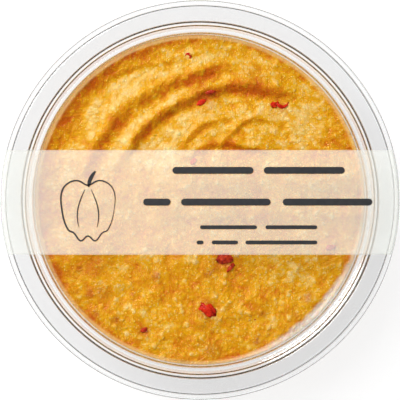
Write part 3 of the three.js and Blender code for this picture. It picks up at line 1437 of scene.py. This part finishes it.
    def build(self) -> bpy.types.Object:
        """The hummus, which stands for its CAD node.

        The smeared shelf has fine ridges, cosine waves of the distance from the rim, and its
        film of paste is thinner between them.

        Returns:
            The hummus's object.
        """
        unit_x, unit_y, rim = self.disc()
        unit_x, unit_y = unit_x.ravel(), unit_y.ravel()
        reach = self.rim_radius(unit_x, unit_y)
        x, y = unit_x * reach, unit_y * reach
        relief, tone = self.detail(x, y)
        shelf = self.shelf(x, y)
        lines = np.cos(2.0 * np.pi * (reach - np.hypot(x, y)) / self.smear_pitch)
        fine = (1.0 - shelf) * relief + shelf * self.smear_ridge * lines
        top = np.stack([x, y, self.broad(x, y) + fine], axis=1)
        rings = self.side_rings(top[rim])
        floor_middle = np.array([[0.0, 0.0, rings[-1][0, 2]]])
        points = np.concatenate([top, *rings, floor_middle])
        around = np.arange(len(rim))
        ring_numbers = [rim] + [len(top) + k * len(rim) + around for k in range(len(rings))]
        sides = [
            np.stack([upper, lower, np.roll(lower, -1), np.roll(upper, -1)], axis=1)
            for upper, lower in zip(ring_numbers, ring_numbers[1:])
        ]
        bottom = fan(len(points) - 1, ring_numbers[-1][::-1])
        surface = grid_quads(self.grid + 1, self.grid + 1, Axis.OPEN)
        dip = new_object("hummus_dip", points, [surface, *sides, bottom])
        fields = {
            "tone": (tone, self.tones.below),
            "margin": (shelf * (1.0 - self.smear_lines * (1.0 - lines)), self.smear_below),
            "stain": (self.stained(x, y), 0.0),
            # Painted highlight along the near right edge.
            "glare": (self.glared(x, y), 0.0),
        }
        self.give_attributes(dip, fields)
        dress(dip, Puree().material())
        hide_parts("hummus")
        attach(dip, "root")
        return dip


@dataclass(frozen=True)
class Bit:
    """One bit of pepper, turned and hooked round by angles in degrees."""

    x: float
    y: float
    length: float
    width: float
    thickness: float
    turn: float
    hook: float = 0.0


@dataclass(frozen=True)
class PepperBits:
    """Bits of one kind of pepper, half sunk in the dip."""

    name: str
    bits: tuple[Bit, ...]
    finish: PepperFlesh
    rough: float = 0.45
    lump_size: float = 0.7
    lump_seed: int = 60
    crumb_size: float = 0.25
    crumb_share: float = 0.4
    crumb_seed: int = 90
    slide: tuple[float, float] = (3.0, 2.0)
    around: int = 40
    down: int = 22

    def swell(self, a: np.ndarray, b: np.ndarray, c: np.ndarray, number: int) -> np.ndarray:
        """How much a bit swells at each point of the unit sphere.

        Args:
            a: First coordinate on the sphere.
            b: Second coordinate.
            c: Third coordinate, which slides the waves' places so that top and underside differ.
            number: The bit's number, which seeds its unevenness.

        Returns:
            1 plus two sizes of waves.
        """
        lumps = Waves(self.lump_size, self.rough, self.lump_seed + number)
        crumbs = Waves(self.crumb_size, self.rough * self.crumb_share, self.crumb_seed + number)
        far, near = self.slide
        lumpy = lumps.at(a + far * c, b - near * c)
        return 1.0 + lumpy + crumbs.at(a - near * c, b + far * c)

    def bit_mesh(self, bit: Bit, number: int, surface: Surface) -> bpy.types.Object:
        """A lumpy flake: an ellipsoid with uneven faces whose length is wound on an arc.

        A point (u, v) of the ellipsoid is (sin v cos u, sin v sin u, cos v) times the half sizes,
        swollen by waves. The first coordinate then runs along an arc of hook degrees, and the
        second along its radius.

        Args:
            bit: The bit.
            number: Its number, which seeds its unevenness.
            surface: Height of the dip at x, y.

        Returns:
            The bit's object.
        """
        u = 2.0 * np.pi * np.arange(self.around) / self.around
        v = np.pi * np.linspace(0.0, 1.0, self.down + 2)
        v, u = np.meshgrid(v, u, indexing="ij")
        a, b, c = np.sin(v) * np.cos(u), np.sin(v) * np.sin(u), np.cos(v)
        swell = self.swell(a, b, c, number) / 2
        a, b, c = a * swell * bit.length, b * swell * bit.width, c * swell * bit.thickness
        if bit.hook:
            arc = bit.length / math.radians(bit.hook)
            a, b = (arc + b) * np.sin(a / arc), (arc + b) * np.cos(a / arc) - arc
        turn = math.radians(bit.turn)
        x = bit.x + a * math.cos(turn) - b * math.sin(turn)
        y = bit.y + a * math.sin(turn) + b * math.cos(turn)
        base = float(surface(np.array([bit.x]), np.array([bit.y]))[0])
        grid = np.stack([x, y, base + c], axis=-1)
        points = np.concatenate([grid[1:-1].reshape(-1, 3), grid[0, :1], grid[-1, :1]])
        count = self.around * self.down
        quads = grid_quads(self.down, self.around, Axis.CLOSED)[:, ::-1]
        first = np.arange(self.around)
        last = (first + count - self.around)[::-1]
        caps = np.concatenate([fan(count, first), fan(count + 1, last)])
        return new_object(f"{self.name}_{number}", points, [quads, caps])

    def build(self, surface: Surface) -> bpy.types.Object:
        """All the bits as one piece.

        Args:
            surface: Height of the dip at x, y.

        Returns:
            The bits' object.
        """
        made = [self.bit_mesh(bit, number, surface) for number, bit in enumerate(self.bits)]
        joined = join_pieces(self.name, made)
        dress(joined, self.finish.material())
        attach(joined, "root")
        return joined


@dataclass(frozen=True)
class LabelBand:
    """The film band: flat over the lid's ring, down past its skirt, then in to the tub's side."""

    tub: Tub
    width: float = 30.4
    centre_y: float = -0.7
    thickness: float = 0.12
    lift: float = 0.07
    outer_gap: float = 0.15
    fold_start: float = 3.0
    fold_inset: float = 0.4
    turn_height: float = 33.4
    seat_height: float = 20.0
    end_height: float = 8.0
    edge_bend: float = 0.8
    turn_bend: float = 0.5
    seat_bend: float = 1.0
    bend_steps: int = 8
    flat_steps: int = 120
    across_steps: int = 36
    sag: float = 0.08
    sag_waves: Waves = Waves(14.0, 0.4, 71)

    @property
    def top(self) -> float:
        """Height of the middle of the film over the ring."""
        return self.tub.lid_top + self.lift + self.thickness / 2

    def drop(self) -> np.ndarray:
        """The film's line from the edge of its flat part down to its end.

        Returns:
            Rows of [radius, height].
        """
        outer = self.tub.lid_radius + self.outer_gap
        out = self.tub.wall / 2 + self.lift + self.thickness / 2
        corners = [
            Corner(outer - self.fold_start, self.top),
            Corner(outer - self.fold_inset, self.top, self.edge_bend),
            Corner(outer, self.turn_height, self.turn_bend),
            Corner(self.tub.side(self.seat_height) + out, self.seat_height, self.seat_bend),
            Corner(self.tub.side(self.end_height) + out, self.end_height),
        ]
        return rounded_line(corners, self.bend_steps)

    def build(self) -> bpy.types.Object:
        """The band, which stands for its CAD node.

        At each y across the width the drop's point (r, z) lies at x = sqrt(r^2 - y^2), so the
        folds follow the lid's edge, and between the two drops the film runs straight with a
        slight sag, (1 - share^2)^2 of the way along.

        Returns:
            The band's object.
        """
        drop = self.drop()
        y = self.centre_y + self.width * (np.linspace(0.0, 1.0, self.across_steps + 1) - 0.5)
        right_x = np.sqrt(drop[:, :1] ** 2 - y**2)
        right = np.stack(np.broadcast_arrays(right_x, y, drop[:, 1:]), axis=-1)
        left = right[::-1] * np.array([-1.0, 1.0, 1.0])
        share = np.linspace(-1.0, 1.0, self.flat_steps + 1)[1:-1, None]
        flat_x = share * right_x[0]
        waves = 1.0 + self.sag_waves.at(flat_x, y + 0 * flat_x)
        flat_z = self.top - self.sag * (1.0 - share**2) ** 2 * waves
        flat = np.stack(np.broadcast_arrays(flat_x, y, flat_z), axis=-1)
        middle = np.concatenate([left, flat, right])
        band = shell("label_band_film", middle, self.thickness)
        dress(band, LabelFilm().material())
        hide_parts("label_band")
        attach(band, "root")
        return band


@dataclass(frozen=True)
class PrintRow:
    """A row of bars: its middle's y, its height, and where each bar starts and ends along X."""

    y: float
    height: float
    bars: tuple[tuple[float, float], ...]


@dataclass(frozen=True)
class PepperDrawing:
    """The lines of a bell pepper's drawing, with the widths of the pen that draws them."""

    middle: Place = (-32.5, -2.6)
    half_width: float = 7.6
    half_height: float = 8.6
    roundness: float = 0.72
    taper: float = 0.16
    lobes: float = 3.0
    lobe_depth: float = 0.09
    lobe_zone: tuple[float, float] = (0.55, 0.95)
    hollow_depth: float = 0.2
    hollow_width: float = 0.24
    hollow_zone: tuple[float, float] = (0.5, 0.9)
    fold_gap: float = 0.9
    fold_swell: float = 2.2
    fold_sweep: float = 0.72
    fold_top: float = 0.66
    fold_length: float = 1.28
    stem_gap: float = 0.2
    stem_lean: float = 2.0
    stem_foot: float = 0.74
    stem_length: float = 4.6
    outline_pen: float = 0.5
    fold_pen: float = 0.36
    stem_pen: float = 1.1
    outline_points: int = 241
    line_points: int = 41

    def outline(self) -> np.ndarray:
        """A superellipse that narrows downwards.

        It has three lobes, cosine waves along its lower edge, and a hollow, a bell curve, where
        the stem goes in.

        Returns:
            Rows of x, y.
        """
        t = np.linspace(0.0, 2.0 * np.pi, self.outline_points)
        x = np.sign(np.cos(t)) * np.abs(np.cos(t)) ** self.roundness
        y = np.sign(np.sin(t)) * np.abs(np.sin(t)) ** self.roundness
        wave = self.lobe_depth * np.cos(self.lobes * np.pi * x)
        dent = self.hollow_depth * bell(x, 0.0, self.hollow_width)
        edge = wave * smooth_step(-y, *self.lobe_zone) - dent * smooth_step(y, *self.hollow_zone)
        across = self.half_width * x * (1.0 + self.taper * y)
        return self.middle + np.stack([across, self.half_height * (y + edge)], axis=1)

    def fold(self, side: float) -> np.ndarray:
        """A fold beside the middle, part of a sine wave.

        Args:
            side: -1 for the left one, 1 for the right one.

        Returns:
            Rows of x, y.
        """
        s = np.linspace(0.0, 1.0, self.line_points)
        across = side * (self.fold_gap + self.fold_swell * np.sin(np.pi * self.fold_sweep * s))
        up = self.half_height * (self.fold_top - self.fold_length * s)
        return self.middle + np.stack([across, up], axis=1)

    def stem(self) -> np.ndarray:
        """The stem, a parabola that leans to the right.

        Returns:
            Rows of x, y.
        """
        s = np.linspace(0.0, 1.0, self.line_points)
        across = self.stem_gap + self.stem_lean * s**2
        up = self.half_height * self.stem_foot + self.stem_length * s
        return self.middle + np.stack([across, up], axis=1)


@dataclass(frozen=True)
class Print:
    """The band's print: rows of plain bars and the drawing of a bell pepper."""

    band: LabelBand
    drawing: PepperDrawing = PepperDrawing()
    thickness: float = 0.03
    lift: float = 0.02
    pen_tip: float = 0.25
    # y, height, starts and ends
    rows: tuple[PrintRow, ...] = (
        PrintRow(8.6, 2.0, ((-8.0, 15.5), (18.5, 42.0))),
        PrintRow(-0.6, 2.0, ((-16.5, -8.5), (-5.5, 20.5), (24.0, 50.0))),
        PrintRow(-7.9, 1.1, ((0.0, 16.5), (19.0, 34.0))),
        PrintRow(-12.3, 1.1, ((-1.0, 1.0), (3.4, 11.0), (13.2, 34.0))),
    )

    @property
    def base(self) -> float:
        """Height of the print's underside."""
        return self.band.top + self.band.thickness / 2 + self.lift

    def bar(self, name: str, row: PrintRow, start: float, end: float) -> bpy.types.Object:
        """A bar with round ends: half circles joined by straight sides, as a thin plate.

        Args:
            name: The bar's name.
            row: The row it stands in.
            start: Where it starts along X.
            end: Where it ends.

        Returns:
            The bar.
        """
        angle = np.linspace(-np.pi / 2, np.pi / 2, EDGE_STEPS + 1)
        radius = row.height / 2
        across, up = np.cos(angle) * radius, np.sin(angle) * radius
        right = np.stack([end - radius + across, row.y + up], axis=1)
        left = np.stack([start + radius - across, row.y - up], axis=1)
        outline = np.concatenate([right, left])
        n = len(outline)
        low = np.column_stack([outline, np.full(n, self.base)])
        points = np.concatenate([low, low + [0.0, 0.0, self.thickness]])
        number = np.arange(n)
        ahead = np.roll(number, -1)
        sides = np.stack([number, ahead, ahead + n, number + n], axis=1)
        return new_object(name, points, [sides, number[None, ::-1], number[None] + n])

    def line(self, name: str, path: np.ndarray, width: float) -> bpy.types.Object:
        """A pen line: a flat ribbon along a path, whose half width falls as the root of a sine.

        Args:
            name: The line's name.
            path: Rows of x, y.
            width: Its width in the middle.

        Returns:
            The line.
        """
        slope = np.gradient(path, axis=0)
        normal = np.stack([-slope[:, 1], slope[:, 0]], axis=1)
        normal /= np.linalg.norm(normal, axis=1, keepdims=True)
        count = len(path)
        press = np.sin(np.pi * np.linspace(0.0, 1.0, count)) ** 0.5
        half = (width / 2 * (self.pen_tip + (1.0 - self.pen_tip) * press))[:, None]
        left, right = path + normal * half, path - normal * half
        low = np.full(count, self.base)
        high = np.full(count, self.base + self.thickness)
        section = [
            np.column_stack([edge, height])
            for edge, height in ((left, low), (right, low), (right, high), (left, high))
        ]
        points = np.stack(section, axis=1).reshape(-1, 3)
        body = grid_quads(count, 4, Axis.CLOSED)[:, ::-1]
        ends = np.array([[0, 1, 2, 3], [3, 2, 1, 0]]) + np.array([[0], [4 * (count - 1)]])
        return new_object(name, points, [body, ends])

    def pepper(self) -> list[bpy.types.Object]:
        """The bell pepper in pen lines: its outline, two folds and a stem.

        Returns:
            The lines.
        """
        drawing = self.drawing
        return [
            self.line("print_pepper_outline", drawing.outline(), drawing.outline_pen),
            self.line("print_pepper_fold_left", drawing.fold(-1.0), drawing.fold_pen),
            self.line("print_pepper_fold_right", drawing.fold(1.0), drawing.fold_pen),
            self.line("print_pepper_stem", drawing.stem(), drawing.stem_pen),
        ]

    def build(self) -> bpy.types.Object:
        """All the print as one piece.

        Returns:
            The print's object.
        """
        marks = [
            self.bar(f"print_bar_{number}_{place}", row, start, end)
            for number, row in enumerate(self.rows)
            for place, (start, end) in enumerate(row.bars)
        ]
        joined = join_pieces("label_print", marks + self.pepper())
        joined.data.shade_flat()
        dress(joined, Ink().material())
        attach(joined, "root")
        return joined


# The studio


@dataclass(frozen=True)
class Studio:
    """A pale floor, a soft key light from the far left, an even bright room, a camera overhead.

    The key light, the room and the camera are in metres and degrees.
    """

    floor_size: float = 6.0
    key_power: float = 11.2
    key_size: float = 0.45
    key_distance: float = 1.0
    key_azimuth: float = 135.0
    key_elevation: float = 50.0
    room_horizon: float = 0.1
    room_bright: float = 0.76
    room_zenith: float = 0.02
    room_stops: tuple[float, float, float, float] = (0.1, 0.5, 0.88, 0.96)
    camera_height: float = 1.3
    focus_height: float = 34.5 * MM
    view_width: float = 0.1164
    sensor: float = 36.0
    clip_end: float = 20.0

    def build(self) -> None:
        """Makes all of it."""
        self.floor()
        self.room()
        self.key()
        self.camera()
        bpy.context.scene.view_settings.view_transform = "Standard"

    def floor(self) -> None:
        """The floor at height 0."""
        half = self.floor_size / 2 / MM
        corners = ((-half, -half, 0.0), (half, -half, 0.0), (half, half, 0.0), (-half, half, 0.0))
        points = np.array(corners)
        floor = new_object("floor", points, [np.array([[0, 1, 2, 3]])])
        dress(floor, PaleFloor().material())

    def room(self) -> None:
        """Light from all round, brightest half way up and dark straight above."""
        world = bpy.data.worlds.new("room")
        world.use_nodes = True
        bpy.context.scene.world = world
        tree = Tree(world.node_tree)
        place = tree.add("ShaderNodeTexCoord").outputs["Generated"]
        up = tree.feed(tree.add("ShaderNodeSeparateXYZ"), Vector=place).outputs["Z"]
        greys = (self.room_horizon, self.room_bright, self.room_bright, self.room_zenith)
        stops = [(stop, (grey, grey, grey)) for stop, grey in zip(self.room_stops, greys)]
        background = tree.feed(tree.add("ShaderNodeBackground"), Color=tree.ramp(up, stops))
        tree.feed(tree.add("ShaderNodeOutputWorld"), Surface=background.outputs[0])

    def key(self) -> None:
        """A square soft light aimed at the pot."""
        light = bpy.data.lights.new("key", "AREA")
        light.energy = self.key_power
        light.size = self.key_size
        lamp = bpy.data.objects.new("key", light)
        azimuth, elevation = math.radians(self.key_azimuth), math.radians(self.key_elevation)
        flat = self.key_distance * math.cos(elevation)
        height = self.key_distance * math.sin(elevation)
        lamp.location = (flat * math.cos(azimuth), flat * math.sin(azimuth), height)
        lamp.rotation_euler = (math.pi / 2 - elevation, 0.0, azimuth + math.pi / 2)
        bpy.context.scene.collection.objects.link(lamp)

    def camera(self) -> None:
        """A long lens straight above, with the lid filling the frame."""
        lens = bpy.data.cameras.new("camera")
        lens.sensor_width = self.sensor
        lens.lens = self.sensor * (self.camera_height - self.focus_height) / self.view_width
        lens.clip_end = self.clip_end
        eye = bpy.data.objects.new("camera", lens)
        eye.location = (0.0, 0.0, self.camera_height)
        bpy.context.scene.collection.objects.link(eye)
        bpy.context.scene.camera = eye


# x, y, length, width, thickness, turn, hook
RED_BITS = (
    Bit(2.1, -32.1, 4.6, 3.1, 1.2, -40.0),
    Bit(0.9, -31.4, 2.4, 2.0, 1.0, 25.0),
    Bit(3.3, -32.9, 2.2, 1.6, 1.1, -80.0),
    Bit(21.5, 27.8, 1.7, 1.6, 1.3, 10.0),
    Bit(23.9, 27.3, 4.2, 1.0, 1.0, -10.0, -150.0),
    Bit(0.4, 28.6, 2.6, 1.3, 1.1, 30.0),
    Bit(-3.2, 42.5, 2.2, 0.8, 0.9, -30.0, 170.0),
    Bit(38.2, -13.9, 2.6, 1.6, 1.1, 20.0),
    Bit(-1.9, 11.5, 2.2, 1.4, 1.0, 70.0),
)
DARK_BITS = (
    Bit(7.3, -17.3, 4.6, 2.8, 1.3, 14.0),
    Bit(8.9, -19.6, 3.0, 1.3, 1.0, 55.0),
    Bit(3.2, 31.6, 2.6, 1.0, 0.9, 18.0),
    Bit(-16.4, -38.0, 1.9, 1.3, 0.8, 24.0),
    Bit(16.1, -34.9, 0.5, 0.45, 0.5, 0.0),
)
RED_FLESH = PepperFlesh("red_pepper", (0.42, 0.006, 0.001), (0.76, 0.034, 0.006))
DARK_FLESH = PepperFlesh("dark_pepper", (0.28, 0.012, 0.004), (0.60, 0.05, 0.012))

# Spice and pepper juice: x, y, size, strength
STAINS = (
    Stain(-35.2, -20.2, 0.9, 0.7),
    Stain(-32.0, -27.4, 1.2, 0.9),
    Stain(-29.4, -26.6, 0.9, 0.7),
    Stain(-30.6, -33.4, 1.1, 0.8),
    Stain(-24.5, -35.3, 1.1, 0.9),
    Stain(-16.4, -38.4, 1.6, 0.8),
    Stain(-19.9, -27.7, 1.0, 0.9),
    Stain(-12.9, -21.9, 1.3, 0.9),
    Stain(-30.3, -19.0, 2.6, 0.35),
    Stain(-28.9, -26.2, 2.8, 0.35),
    Stain(31.5, -28.6, 1.3, 0.8),
    Stain(18.7, -33.5, 1.0, 0.7),
    Stain(28.0, -33.8, 0.9, 0.7),
    Stain(16.7, -41.0, 1.2, 0.8),
    Stain(3.0, -44.0, 2.0, 0.6),
    Stain(6.5, -18.0, 2.4, 0.6),
    Stain(2.9, -21.2, 0.9, 0.75),
    Stain(1.7, -21.9, 0.8, 0.75),
    Stain(3.9, -20.5, 0.7, 0.7),
    Stain(4.2, -34.9, 1.3, 0.3),
    Stain(1.6, 29.2, 2.6, 0.5),
    Stain(15.5, 36.0, 3.4, 0.3),
    Stain(23.5, 27.5, 1.8, 0.5),
    Stain(2.2, -32.2, 2.5, 0.85),
    Stain(7.6, -17.6, 2.3, 0.7),
    Stain(38.2, -13.9, 2.0, 0.5),
    Stain(-1.9, 11.5, 2.0, 0.5),
)

# Broad patches, partly painted light and shade, paler above 0 and deeper below it: x, y, size,
# strength
LIGHT_AND_TONE_PATCHES = (
    Stain(-12.0, 14.5, 5.5, 0.3),
    Stain(-6.0, 24.0, 4.0, 0.14),
    Stain(-3.5, 38.5, 6.5, -0.18),
    Stain(9.5, 38.5, 7.5, -0.15),
    Stain(20.5, 37.0, 5.0, -0.15),
    Stain(11.0, 19.5, 5.5, -0.16),
    Stain(28.0, 25.5, 6.5, 0.13),
    Stain(34.0, 12.5, 5.0, -0.1),
    Stain(28.5, -21.5, 6.0, 0.18),
    Stain(-24.0, -33.0, 4.0, 0.12),
    Stain(-41.0, -21.0, 4.0, -0.12),
    Stain(-37.0, 19.0, 7.0, -0.15),
    Stain(-30.5, 30.5, 5.0, -0.12),
    Stain(40.0, 15.0, 6.0, -0.13),
    Stain(-16.0, 31.5, 5.0, 0.1),
    Stain(6.0, 31.0, 5.0, 0.12),
    Stain(13.0, 25.0, 4.0, -0.17),
    Stain(1.0, 12.0, 4.5, -0.16),
    Stain(-9.0, -30.0, 7.0, -0.09),
)


def main() -> None:
    """Builds the pot from the inside out, then the studio, and reports each piece."""
    logging.basicConfig(level=logging.INFO, format="%(name)s: %(message)s")
    lid = Lid(*node_size("lid"))
    tub = Tub(lid.radius, lid.top)
    dip = Dip(tub, STAINS, LIGHT_AND_TONE_PATCHES)
    band = LabelBand(tub)
    pieces = [
        tub.build(),
        dip.build(),
        PepperBits("red_pepper_bits", RED_BITS, RED_FLESH).build(dip.broad),
        PepperBits("dark_pepper_bits", DARK_BITS, DARK_FLESH).build(dip.broad),
        lid.build(),
        band.build(),
        Print(band).build(),
    ]
    for piece in pieces:
        mesh = piece.data
        log.info("%s: %d points, %d faces", piece.name, len(mesh.vertices), len(mesh.polygons))
    Studio().build()


if __name__ == "__main__":
    main()
